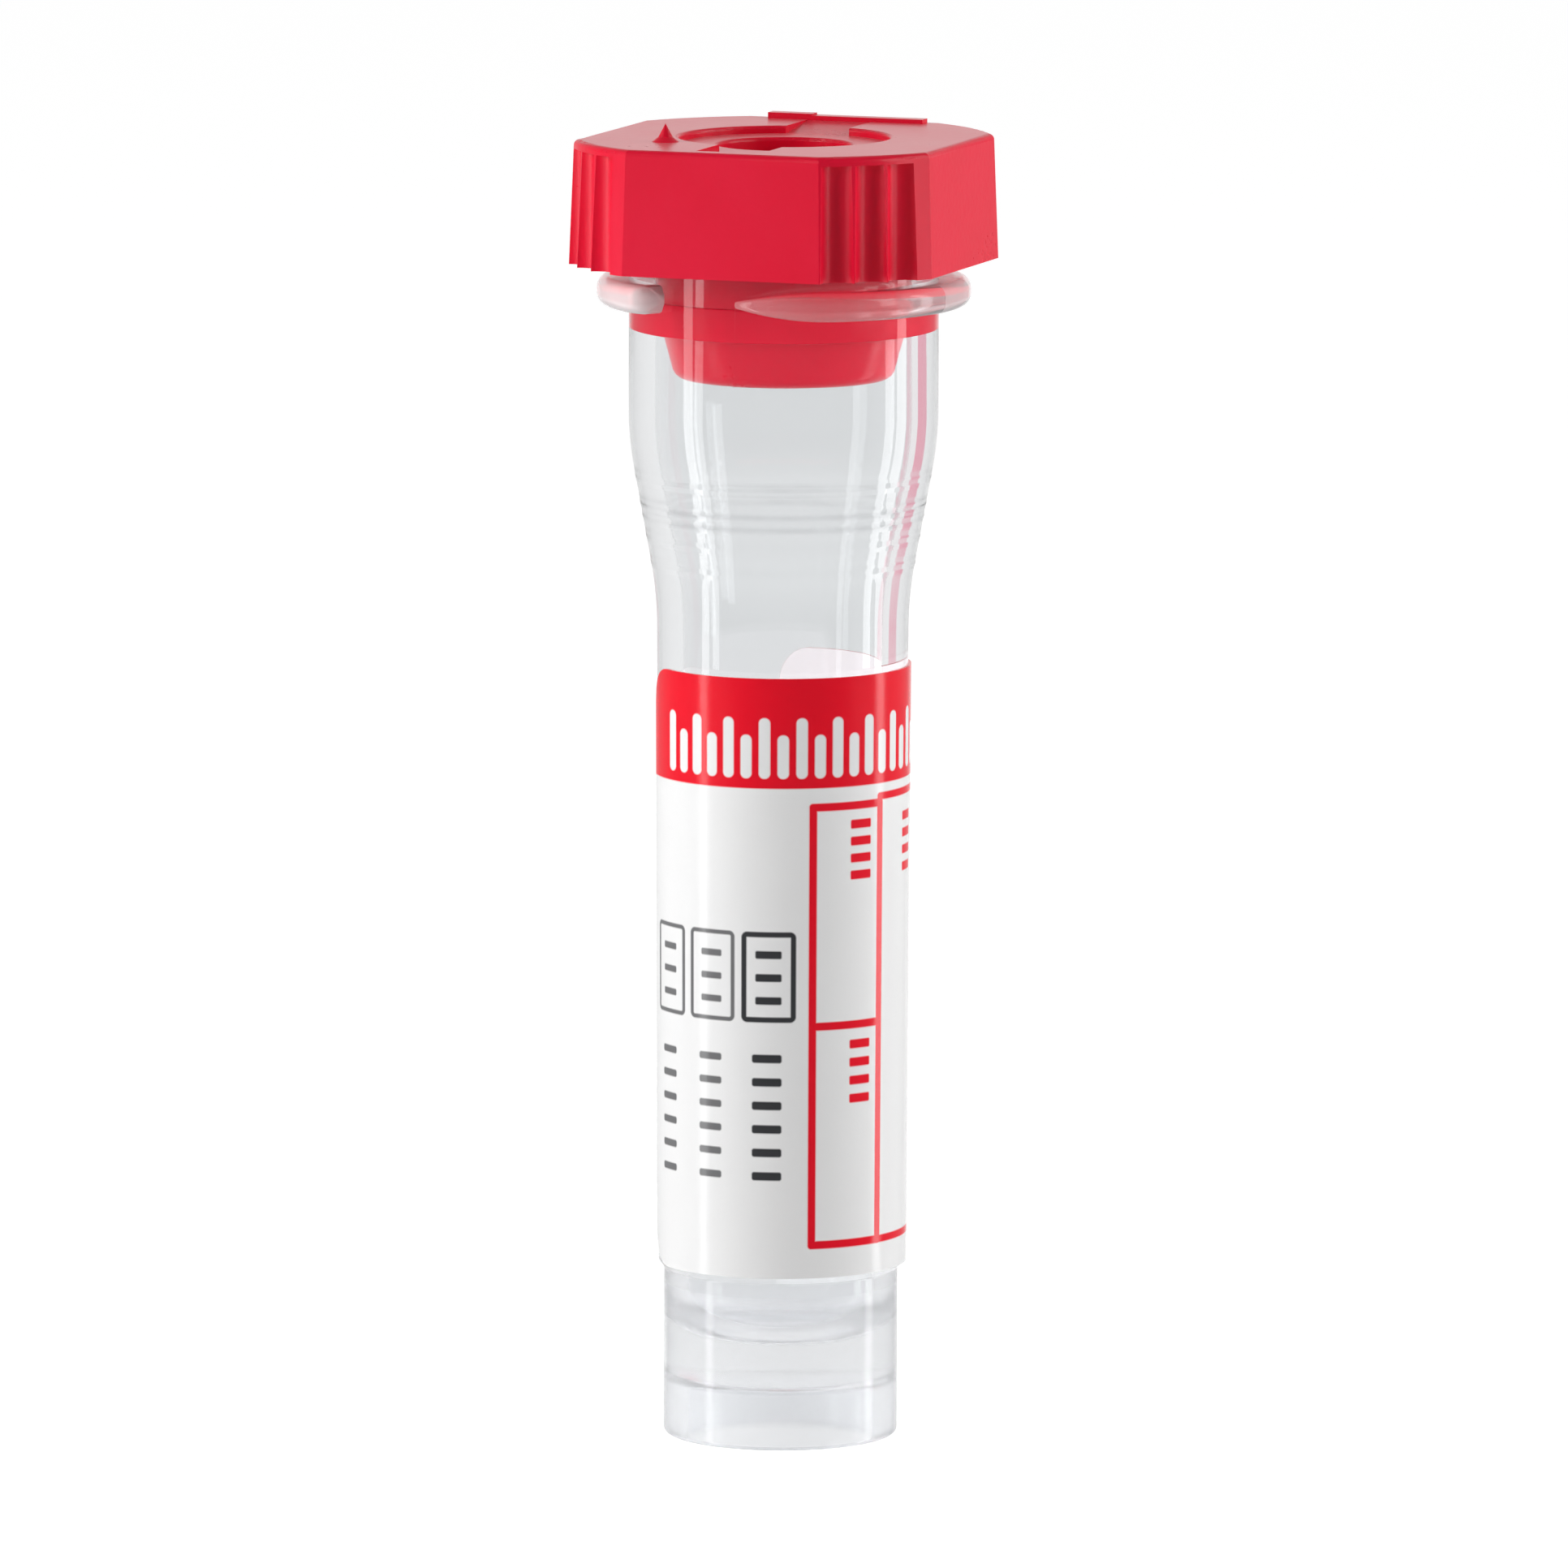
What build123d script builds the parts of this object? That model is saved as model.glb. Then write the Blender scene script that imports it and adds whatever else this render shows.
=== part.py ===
"""Capillary blood collection tube: a clear moulded tube, a pierceable cap and a wrap label.

Units are millimetres. +Z points up the tube. The origin is the centre of the foot, on the surface
that the tube stands on. The front of the tube faces -Y, and an angle round it is measured about +Z
from that front.
"""
from build123d import *
from math import cos, hypot, radians, sin, tan
import os

# ---------------------------------------------------------------- driving dimensions: the tube
tube_length = 41.0          # foot to rim
body_r = 4.04               # outside, just over the foot's step
body_draft = 0.10           # growth of the body's radius up to the flare
foot_inset = 0.19           # foot's wall inside the body's; the foot drops into a rack hole
foot_height = 5.55          # foot to the start of the small step up to the body
foot_step = 0.25            # height of that conical step
foot_edge = 0.18            # round on the foot's outer edge and on the step
skirt_wall = 0.82           # wall of the foot round the hollow under it
skirt_depth = 2.0
skirt_fillet = 0.35
floor_thickness = 1.3       # between the hollow under the foot and the bore
body_wall = 0.97            # wall at the floor
bore_draft = 0.22           # growth of the bore's radius up to the flare
floor_round = 1.7           # rounded bottom of the bore
flare_start = 27.9          # height of the corner below the flare, before rounding
flare_rise = 5.2            # height between the flare's two corners
flare_reach = 0.94          # how far the neck stands out of the body
flare_low_round = 11.0
flare_high_round = 9.0
neck_wall = 0.86
rim_round = 0.2

# Fine mould rings on the flare, as shares of its rise.
ring_places = (0.31, 0.49, 0.58, 0.71, 0.80)
ring_r = 0.07               # radius of a ring's own section, half sunk in the wall

# ---------------------------------------------------------------- driving dimensions: the lugs
lug_reach = 1.05            # how far a lug stands out of the neck
lug_thickness = 0.95
lug_below_rim = 2.55        # rim to the lug's upper face
lug_start = -21.0           # angle of a lug's thin end, sunk in the neck's wall
lug_sweep = 151.0           # thin end to blunt end
lug_lead = 44.0             # part of the sweep over which a lug grows to its full reach
lug_lead_bulge = 0.66       # share of the way out that it has half way along that part
lug_edge = 0.38             # round on a lug's rim
lug_end_round = 0.45        # round in plan at the blunt end
lug_count = 2

# ---------------------------------------------------------------- driving dimensions: the cap
cap_turn = -19.3            # angle of the middle of one flat
flat_count = 4
head_height = 4.1
head_over_rim = 2.0         # head's top above the tube's rim
head_wall = 0.90            # thinnest wall, at the middle of a flat
head_draft = 2.0            # degrees, widening downwards
corner_half_angle = 16.6    # half the angle that a fluted corner takes
head_top_round = 0.2
flute_r = 0.6
flute_count = 3             # in each corner
flute_pitch = 9.4           # degrees between flutes
flute_shift = -2.3          # middle of a corner to its middle flute, which leaves a land at one end
flute_depth = 0.36          # below the corner's surface
flute_stop = 0.3            # plain band over the flutes

rim_clearance = 0.14        # neck to the inside of the head, each side
rim_headroom = 0.25         # rim to the roof of its groove
plug_clearance = 0.03       # sealing band to the bore, each side
seal_below_rim = 4.35       # rim to the lower end of the sealing band
plug_below_rim = 5.9        # rim to the plug's lower end
plug_step = 0.2             # sealing band in to the top of the plug's nose
nose_taper = 0.42           # loss of radius along the nose
nose_round = 0.45
plug_wall = 1.1             # wall at the nose's lower end
plug_mouth_round = 0.2

recess_r = 3.45             # shallow round recess in the top
recess_depth = 0.25
port_r = 2.2                # capillary port in the middle of the recess
port_depth = 1.7            # top of the head to the membrane
membrane_thickness = 0.45
slit_width = 0.12
slit_length = 3.2
top_edge_round = 0.12       # on the edges of the recess and the port

notch_width = 2.2           # sloping notches inside two opposite flats, down to the recess
notch_lip = 0.6             # wall left outside a notch
bar_length = 5.4            # raised bar on the lip of the rear notch
bar_offset = 0.22            # middle of the rear flat to the middle of the bar
bar_width = 0.5
bar_height = 0.14
bar_step_length = 1.55      # taller end of the bar
bar_step = 0.06
pip_r = 0.45                # small pip over one corner, flared at its foot
pip_waist_r = 0.24
pip_waist = 0.16            # height of its waist
pip_height = 0.6
pip_beyond_recess = 0.85    # recess's edge to the pip's centre

# ---------------------------------------------------------------- driving dimensions: the label
label_height = 19.85
label_film = 0.08
label_glue = 0.02           # film to wall
label_start = -82.0         # angle of its first edge
label_sweep = 264.0
label_corner = 0.6

# ---------------------------------------------------------------- sizes that follow from those
foot_r = body_r - foot_inset
body_low = foot_height + foot_step
body_top_r = body_r + body_draft
neck_r = body_top_r + flare_reach
flare_end = flare_start + flare_rise
bore_floor = skirt_depth + floor_thickness
bore_low_r = body_r - body_wall
bore_high_r = bore_low_r + bore_draft
neck_bore_r = neck_r - neck_wall
lug_r = neck_r + lug_reach
lug_root_r = neck_r - neck_wall / 2
lug_top = tube_length - lug_below_rim

head_top = tube_length + head_over_rim
head_low = head_top - head_height
groove_r = neck_r + rim_clearance
groove_roof = tube_length + rim_headroom
head_flat_top = groove_r + head_wall
head_flat_low = head_flat_top + head_height * tan(radians(head_draft))
half_turn_of_flat = 180 / flat_count
head_corner_middle = (head_flat_low + head_flat_top) / 2 / cos(radians(half_turn_of_flat - corner_half_angle))
flute_centre_r = head_corner_middle + flute_r - flute_depth
recess_floor = head_top - recess_depth
membrane_top = head_top - port_depth
membrane_low = membrane_top - membrane_thickness

seal_low = tube_length - seal_below_rim
plug_low = tube_length - plug_below_rim
plug_r = neck_bore_r - plug_clearance
nose_top_r = plug_r - plug_step
nose_low_r = nose_top_r - nose_taper
plug_bore_r = nose_low_r - plug_wall


def around(radius: float, angle: float) -> tuple[float, float]:
    """Return X and Y at a radius and at an angle round the tube from its front."""
    return (radius * sin(radians(angle)), -radius * cos(radians(angle)))


def wall_r(height: float) -> float:
    """Return the body's outside radius at a height between the foot's step and the flare."""
    return body_r + body_draft * (height - body_low) / (flare_start - body_low)


def section_plane(angle: float) -> Plane:
    """Return the upright plane through the axis whose X points outwards at an angle."""
    outwards = Vector(*around(1, angle))
    return Plane(origin=(0, 0, 0), x_dir=outwards, z_dir=outwards.cross(Vector(0, 0, 1)))


def off_axis(edge: Edge) -> float:
    """Return how far the middle of an edge lies from the tube's axis."""
    middle = edge @ 0.5
    return hypot(middle.X, middle.Y)


def level_edges(piece: BuildPart, height: float) -> ShapeList:
    """Return the edges of a piece that lie level at a height."""
    return piece.edges().filter_by_position(Axis.Z, height - 0.01, height + 0.01)


os.makedirs("parts", exist_ok=True)

# ---------------------------------------------------------------- lugs that the tube carries
with BuildPart() as lugs:
    for number in range(lug_count):
        thin_end = lug_start + number * 360 / lug_count
        full_reach = thin_end + lug_lead
        blunt_end = thin_end + lug_sweep
        with BuildSketch(Plane.XY.offset(lug_top - lug_thickness)) as lug_plan:
            with BuildLine():
                lead = ThreePointArc(
                    around(lug_root_r, thin_end),
                    around(lug_root_r + (lug_r - lug_root_r) * lug_lead_bulge, thin_end + lug_lead / 2),
                    around(lug_r, full_reach),
                )
                rim = ThreePointArc(
                    lead @ 1,
                    around(lug_r, (full_reach + blunt_end) / 2),
                    around(lug_r, blunt_end),
                )
                blunt = Line(rim @ 1, around(lug_root_r, blunt_end))
                ThreePointArc(
                    blunt @ 1,
                    around(lug_root_r, (thin_end + blunt_end) / 2),
                    lead @ 0,
                )
            make_face()
            blunt_corner = Vector(*around(lug_r, blunt_end))
            fillet(lug_plan.vertices().sort_by_distance(blunt_corner)[0], lug_end_round)
        extrude(amount=lug_thickness)
    flat_edges = lugs.edges().filter_by(Axis.Z, reverse=True)
    fillet(flat_edges.filter_by(lambda edge: off_axis(edge) > lug_root_r + lug_edge / 2), lug_edge)

# ---------------------------------------------------------------- tube: one clear moulding
with BuildPart() as tube:
    # Half section of the body, from the foot's centre round the rim to the bore's floor.
    with BuildSketch(Plane.XZ):
        with BuildLine():
            FilletPolyline(
                (0, 0),
                (foot_r, 0),
                (foot_r, foot_height),
                (body_r, body_low),
                (body_top_r, flare_start),
                (neck_r, flare_end),
                (neck_r, tube_length),
                (neck_bore_r, tube_length),
                (neck_bore_r, flare_end),
                (bore_high_r, flare_start),
                (bore_low_r, bore_floor),
                (0, bore_floor),
                radius=[
                    foot_edge, foot_edge, foot_edge, flare_low_round, flare_high_round, rim_round,
                    rim_round, flare_high_round, flare_low_round, floor_round,
                ],
            )
            Line((0, bore_floor), (0, 0))
        make_face()
    revolve(axis=Axis.Z)

    # Hollow under the foot.
    with BuildSketch(Plane.XY):
        Circle(foot_r - skirt_wall)
    extrude(amount=skirt_depth, mode=Mode.SUBTRACT)
    hollow_roof = tube.faces().filter_by(GeomType.PLANE).sort_by(Axis.Z)[1]
    fillet(hollow_roof.edges(), skirt_fillet)

    # Fine rings on the outside of the flare.
    with BuildSketch(Plane.XZ):
        for place in ring_places:
            ring_centre_r = body_top_r + flare_reach * place
            with Locations((ring_centre_r, flare_start + flare_rise * place)):
                Circle(ring_r)
    revolve(axis=Axis.Z)

    add(lugs.part)
tube.part.label = "tube"
export_step(tube.part, "parts/tube.step")

# ---------------------------------------------------------------- cap: one moulding
with BuildPart() as cap:
    # Head: flats joined by round corners, wider at the bottom.
    for height, flat_r in ((head_low, head_flat_low), (head_top, head_flat_top)):
        corner_r = flat_r / cos(radians(half_turn_of_flat - corner_half_angle))
        with BuildSketch(Plane.XY.offset(height)):
            with BuildLine():
                for number in range(flat_count):
                    corner = cap_turn + half_turn_of_flat * (2 * number + 1)
                    corner_arc = ThreePointArc(
                        around(corner_r, corner - corner_half_angle),
                        around(corner_r, corner),
                        around(corner_r, corner + corner_half_angle),
                    )
                    next_corner_start = corner + 2 * half_turn_of_flat - corner_half_angle
                    Line(corner_arc @ 1, around(corner_r, next_corner_start))
            make_face()
    loft(ruled=True)
    fillet(cap.faces().sort_by(Axis.Z)[-1].outer_wire().edges(), head_top_round)

    # Concave flutes in the corners, open below and stopped under the top edge.
    with BuildSketch(Plane.XY.offset(head_low)):
        for number in range(flat_count):
            corner = cap_turn + half_turn_of_flat * (2 * number + 1)
            for place in range(flute_count):
                angle = corner + flute_shift + flute_pitch * (place - (flute_count - 1) / 2)
                with Locations(around(flute_centre_r, angle)):
                    Circle(flute_r)
    extrude(amount=head_height - flute_stop, mode=Mode.SUBTRACT)

    # Plug with its sealing band, below the head and up to the roof of the rim's groove.
    with BuildSketch(Plane.XZ):
        with BuildLine():
            FilletPolyline(
                (0, plug_low),
                (nose_low_r, plug_low),
                (nose_top_r, seal_low),
                (plug_r, seal_low),
                (plug_r, groove_roof),
                (0, groove_roof),
                radius=[nose_round, 0, plug_step / 3, 0],
            )
            Line((0, groove_roof), (0, plug_low))
        make_face()
    revolve(axis=Axis.Z)

    # Groove round the plug that takes the tube's rim.
    with BuildSketch(Plane.XY.offset(head_low)):
        Circle(groove_r)
        Circle(plug_r, mode=Mode.SUBTRACT)
    extrude(amount=groove_roof - head_low, mode=Mode.SUBTRACT)

    # Hollow of the plug, from below up to the membrane.
    with BuildSketch(Plane.XY.offset(plug_low)):
        Circle(plug_bore_r)
    extrude(amount=membrane_low - plug_low, mode=Mode.SUBTRACT)
    fillet(level_edges(cap, plug_low).sort_by(off_axis)[0], plug_mouth_round)

    # Recess and port in the top, and the cross slit through the membrane.
    with BuildSketch(Plane.XY.offset(head_top)):
        Circle(recess_r)
    extrude(amount=-recess_depth, mode=Mode.SUBTRACT)
    with BuildSketch(Plane.XY.offset(recess_floor)):
        Circle(port_r)
    extrude(amount=membrane_top - recess_floor, mode=Mode.SUBTRACT)
    recess_edge = level_edges(cap, head_top).sort_by(off_axis)[0]
    port_edge = level_edges(cap, recess_floor).sort_by(off_axis)[0]
    fillet([recess_edge, port_edge], top_edge_round)
    with BuildSketch(Plane.XY.offset(membrane_low)):
        with Locations(Rotation(0, 0, cap_turn)):
            Rectangle(slit_length, slit_width)
            Rectangle(slit_width, slit_length)
    extrude(amount=membrane_thickness, mode=Mode.SUBTRACT)

    # Sloping notches inside the front and rear flats.
    for angle in (cap_turn, cap_turn + 180):
        with BuildSketch(section_plane(angle)):
            with BuildLine():
                Polyline(
                    (port_r, recess_floor),
                    (recess_r, recess_floor),
                    (head_flat_top - notch_lip, head_top),
                    (head_flat_top - notch_lip, head_top + recess_depth),
                    (port_r, head_top + recess_depth),
                    close=True,
                )
            make_face()
        extrude(amount=notch_width / 2, both=True, mode=Mode.SUBTRACT)

    # Raised bar on the rear lip, with a taller end.
    bar_middle_r = head_flat_top - head_top_round - bar_width / 2
    bar_step_offset = bar_offset - (bar_length - bar_step_length) / 2
    for length, offset, height in (
        (bar_length, bar_offset, bar_height),
        (bar_step_length, bar_step_offset, bar_height + bar_step),
    ):
        with BuildSketch(Plane.XY.offset(head_top - bar_height)):
            with Locations(Rotation(0, 0, cap_turn)):
                with Locations((offset, bar_middle_r)):
                    Rectangle(length, bar_width)
        extrude(amount=bar_height + height)

    # Pip over a corner, beside the recess.
    with BuildSketch(section_plane(cap_turn - half_turn_of_flat)):
        with BuildLine():
            pip_centre_r = recess_r + pip_beyond_recess
            Polyline(
                (pip_centre_r, head_top),
                (pip_centre_r + pip_r, head_top),
                (pip_centre_r + pip_waist_r, head_top + pip_waist),
                (pip_centre_r, head_top + pip_height),
                close=True,
            )
        make_face()
    pip_axis = Axis((*around(pip_centre_r, cap_turn - half_turn_of_flat), 0), (0, 0, 1))
    revolve(axis=pip_axis)
cap.part.label = "cap"
export_step(cap.part, "parts/cap.step")

# ---------------------------------------------------------------- label: one printed film
with BuildPart() as label:
    label_top = body_low + label_height
    with BuildSketch(section_plane(label_start)):
        with BuildLine():
            Polyline(
                (wall_r(body_low) + label_glue, body_low),
                (wall_r(body_low) + label_glue + label_film, body_low),
                (wall_r(label_top) + label_glue + label_film, label_top),
                (wall_r(label_top) + label_glue, label_top),
                close=True,
            )
        make_face()
    revolve(axis=Axis.Z, revolution_arc=label_sweep)
    corner_edges = label.edges().sort_by(SortBy.LENGTH)[:8]
    fillet(corner_edges.filter_by(Axis.Z, reverse=True)[:4], label_corner)
label.part.label = "label"
export_step(label.part, "parts/label.step")

for piece in (tube, cap, label):
    print(piece.part.label, piece.part.is_valid, len(piece.part.solids()), round(piece.part.volume, 2),
          piece.part.bounding_box())
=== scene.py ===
"""Capillary blood collection tube, dressed for its portrait.

A clear moulded tube with two lugs under its rim, a red pierceable cap and a printed wrap label stand
on a pale floor. The object's meshes are shaped in millimetres and put down in metres. An angle round
the tube is measured about +Z from its front, which faces -Y.
"""
import logging
import math
from dataclasses import dataclass, field
from enum import Enum

import bmesh
import bpy
from mathutils import Matrix, Vector


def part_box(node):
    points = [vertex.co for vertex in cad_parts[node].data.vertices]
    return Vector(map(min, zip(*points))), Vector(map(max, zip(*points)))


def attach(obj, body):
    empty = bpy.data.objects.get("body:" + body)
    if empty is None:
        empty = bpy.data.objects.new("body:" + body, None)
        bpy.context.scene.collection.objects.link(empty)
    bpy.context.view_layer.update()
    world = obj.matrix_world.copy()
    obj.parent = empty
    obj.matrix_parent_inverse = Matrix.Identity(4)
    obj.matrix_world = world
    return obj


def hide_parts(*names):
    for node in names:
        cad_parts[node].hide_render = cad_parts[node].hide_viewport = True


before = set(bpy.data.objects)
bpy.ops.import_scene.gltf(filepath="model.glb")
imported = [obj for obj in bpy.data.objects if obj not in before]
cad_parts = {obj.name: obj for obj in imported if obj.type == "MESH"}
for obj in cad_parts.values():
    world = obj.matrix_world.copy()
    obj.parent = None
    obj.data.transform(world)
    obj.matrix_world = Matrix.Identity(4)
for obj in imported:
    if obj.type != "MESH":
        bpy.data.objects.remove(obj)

Colour = tuple[float, float, float, float]
Feed = float | tuple | bpy.types.NodeSocket  # what an input takes: a plain value, or an output

MM = 0.001
SMALLEST_GAP = 1e-4  # mm; corners nearer than this are one
SEAM = 0.1  # degrees; a point this little before a start counts as on it
ROUND_STEPS = 8  # straight runs in a rounded corner
FILLED = 100.0  # mm; a printed line this wide fills its mark
INK_EDGE = 0.025  # mm; half the soft edge of a printed mark
BACKING = "backing"  # face attribute: 1 on the label's inner side
NO_BOUNCE = 0.5  # a ray's depth of one kind is under this until its first bounce of that kind
WHITE = (1.0, 1.0, 1.0, 1.0)
BLACK = (0.0, 0.0, 0.0, 1.0)
log = logging.getLogger("collection_tube")


# ---------------------------------------------------------------- shapes
@dataclass(frozen=True)
class Corner:
    """One corner of a section: its distance from the axis, its height and its round, in mm."""

    r: float
    z: float
    round: float = 0.0


def around(radius: float, angle: float, height: float = 0.0) -> Vector:
    """Place a point round the tube.

    Args:
        radius: Distance from the axis.
        angle: Degrees round the tube from its front.
        height: Height over the standing surface.

    Returns:
        The point's position.
    """
    turn = math.radians(angle)
    return Vector((radius * math.sin(turn), -radius * math.cos(turn), height))


def degrees_past(start: float, place: Vector) -> float:
    """Measure how far round the tube a point lies past a start.

    Args:
        start: Angle of the start.
        place: The point.

    Returns:
        Degrees, from 0 up to 360.
    """
    turn = (math.degrees(math.atan2(place.x, -place.y)) - start) % 360
    return 0.0 if turn > 360 - SEAM else turn


def section_wire(corners: list[Corner], closed: bool = False) -> bmesh.types.BMesh:
    """Draw a section as a chain of edges in the plane of the front, with its corners rounded.

    Args:
        corners: The section's corners in order.
        closed: Whether the last corner joins the first.

    Returns:
        A mesh that holds only the chain.
    """
    shape = bmesh.new()
    verts = [shape.verts.new(around(c.r, 0.0, c.z)) for c in corners]
    for a, b in zip(verts, verts[1:]):
        shape.edges.new((a, b))
    if closed:
        shape.edges.new((verts[-1], verts[0]))
    last = len(corners) - 1
    offsets = []
    for i, corner in enumerate(corners):
        if corner.round == 0 or (not closed and i in (0, last)):
            continue
        arriving = verts[i].co - verts[i - 1].co
        leaving = verts[(i + 1) % len(verts)].co - verts[i].co
        offsets.append((verts[i], corner.round * math.tan(arriving.angle(leaving) / 2)))
    for vert, offset in offsets:
        bmesh.ops.bevel(
            shape, geom=[vert], offset=offset, offset_type="OFFSET", segments=ROUND_STEPS, profile=0.5,
            affect="VERTICES", clamp_overlap=False, material=-1,
        )
    return shape


def spin_section(shape: bmesh.types.BMesh, start: float, sweep: float, steps: int) -> None:
    """Spin a section round the tube's axis.

    Args:
        shape: The mesh that holds the section, drawn at the front. It is changed in place.
        start: Angle of the first copy.
        sweep: Degrees that the spin covers; 360 joins the last copy to the first.
        steps: Number of copies.
    """
    bmesh.ops.rotate(
        shape, verts=shape.verts[:], cent=(0, 0, 0), matrix=Matrix.Rotation(math.radians(start), 3, "Z")
    )
    bmesh.ops.spin(
        shape, geom=shape.verts[:] + shape.edges[:], cent=(0, 0, 0), axis=(0, 0, 1), dvec=(0, 0, 0),
        angle=math.radians(sweep), steps=steps, use_merge=sweep == 360, use_duplicate=False,
    )


def tidy_skin(shape: bmesh.types.BMesh) -> None:
    """Merge doubled corners and turn every face outwards.

    Args:
        shape: The mesh to tidy, in place.
    """
    bmesh.ops.remove_doubles(shape, verts=shape.verts[:], dist=SMALLEST_GAP)
    bmesh.ops.dissolve_degenerate(shape, dist=SMALLEST_GAP / 10, edges=shape.edges[:])
    bmesh.ops.recalc_face_normals(shape, faces=shape.faces[:])


def outwardness(face: bmesh.types.BMFace) -> float:
    """Say how squarely a face looks away from the tube's axis, from -1 to 1."""
    return face.normal.to_2d().dot(face.calc_center_median().to_2d().normalized())


def put_down(name: str, shape: bmesh.types.BMesh, scale: float = MM) -> bpy.types.Object:
    """Turn a shape into an object at the origin.

    Args:
        name: The object's name.
        shape: The finished mesh, which is freed.
        scale: What one unit of the mesh is in metres.

    Returns:
        The new object, linked to the scene.
    """
    mesh = bpy.data.meshes.new(name)
    shape.to_mesh(mesh)
    shape.free()
    mesh.transform(Matrix.Scale(scale, 4))
    piece = bpy.data.objects.new(name, mesh)
    bpy.context.scene.collection.objects.link(piece)
    return piece


def smooth(piece: bpy.types.Object, crease: float) -> None:
    """Shade a piece smooth, apart from its creases.

    Args:
        piece: The object to shade.
        crease: Angle in degrees past which an edge stays sharp.
    """
    piece.data.shade_smooth()
    piece.data.set_sharp_from_angle(angle=math.radians(crease))


# ---------------------------------------------------------------- wiring of materials
class Wiring:
    """Short calls for laying out the nodes of one tree."""

    def __init__(self, tree: bpy.types.NodeTree) -> None:
        """Take an empty node tree to fill."""
        self.tree = tree
        tree.nodes.clear()

    def feed(self, socket: bpy.types.NodeSocket, value: Feed) -> None:
        """Feed an input.

        Args:
            socket: The input.
            value: Its plain value, or the output that is joined to it.
        """
        if isinstance(value, bpy.types.NodeSocket):
            self.tree.links.new(value, socket)
        else:
            socket.default_value = value

    def node(self, kind: str, inputs: dict | None = None, **settings: object) -> bpy.types.Node:
        """Add a node.

        Args:
            kind: The node's type without its "ShaderNode" front.
            inputs: Input name or number to a value, or to an output that feeds it.
            **settings: Properties of the node itself.

        Returns:
            The new node.
        """
        node = self.tree.nodes.new("ShaderNode" + kind)
        for key, value in settings.items():
            setattr(node, key, value)
        for key, value in (inputs or {}).items():
            self.feed(node.inputs[key], value)
        return node

    def math(self, operation: str, *values: Feed) -> bpy.types.NodeSocket:
        """Add a Math node.

        Args:
            operation: The node's operation.
            *values: Its inputs in order, each a number or an output.

        Returns:
            The node's result.
        """
        return self.node("Math", dict(enumerate(values)), operation=operation).outputs[0]

    def parts(self, place: bpy.types.NodeSocket) -> bpy.types.NodeOutputs:
        """Split a place into its X, Y and Z."""
        return self.node("SeparateXYZ", {0: place}).outputs

    def ramp(
        self, value: Feed, start: float, end: float, low: float = 0.0, high: float = 1.0
    ) -> bpy.types.NodeSocket:
        """Lead a value evenly from one level to another.

        Args:
            value: The value, a number or an output.
            start: The value that gives the first level, and so does anything before it.
            end: The value that gives the second level, and so does anything past it.
            low: The first level.
            high: The second level.

        Returns:
            The level.
        """
        return self.node("MapRange", {"Value": value, 1: start, 2: end, 3: low, 4: high}).outputs[0]

    def group(self, tree: bpy.types.NodeTree, **values: Feed) -> bpy.types.NodeOutputs:
        """Place a node group.

        Args:
            tree: The group.
            **values: Its inputs, with an underscore for each space in a name.

        Returns:
            What the group gives.
        """
        node = self.node("Group", node_tree=tree)
        for key, value in values.items():
            self.feed(node.inputs[key.replace("_", " ")], value)
        return node.outputs

    def blend(self, share: Feed, first: Feed, second: Feed) -> bpy.types.NodeSocket:
        """Mix two colours.

        Args:
            share: How much of the second shows, a number or an output.
            first: The colour at a share of 0.
            second: The colour at a share of 1.

        Returns:
            The mixed colour.
        """
        mix = self.node("Mix", data_type="RGBA")
        for place, value in ((0, share), (6, first), (7, second)):
            self.feed(mix.inputs[place], value)
        return mix.outputs[2]


class Group(Wiring):
    """The wiring of a new shader node group, which is placed in the materials that use it."""

    def __init__(self, name: str, inputs: dict[str, float | tuple], outputs: tuple[str, ...]) -> None:
        """Start the group.

        Args:
            name: The group's name.
            inputs: Each input's name to its default; a tuple makes a vector.
            outputs: The names of the numbers that the group gives.
        """
        tree = bpy.data.node_groups.new(name, "ShaderNodeTree")
        for label, default in inputs.items():
            kind = "NodeSocketVector" if isinstance(default, tuple) else "NodeSocketFloat"
            socket = tree.interface.new_socket(name=label, in_out="INPUT", socket_type=kind)
            socket.default_value = default
        for label in outputs:
            tree.interface.new_socket(name=label, in_out="OUTPUT", socket_type="NodeSocketFloat")
        super().__init__(tree)
        self.given = tree.nodes.new("NodeGroupInput").outputs
        self.result = tree.nodes.new("NodeGroupOutput").inputs

    def give(self, **results: bpy.types.NodeSocket) -> bpy.types.NodeTree:
        """Join the results to the group's outputs.

        Args:
            **results: Each output's name to what feeds it.

        Returns:
            The finished group.
        """
        for label, result in results.items():
            self.feed(self.result[label], result)
        return self.tree


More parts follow.
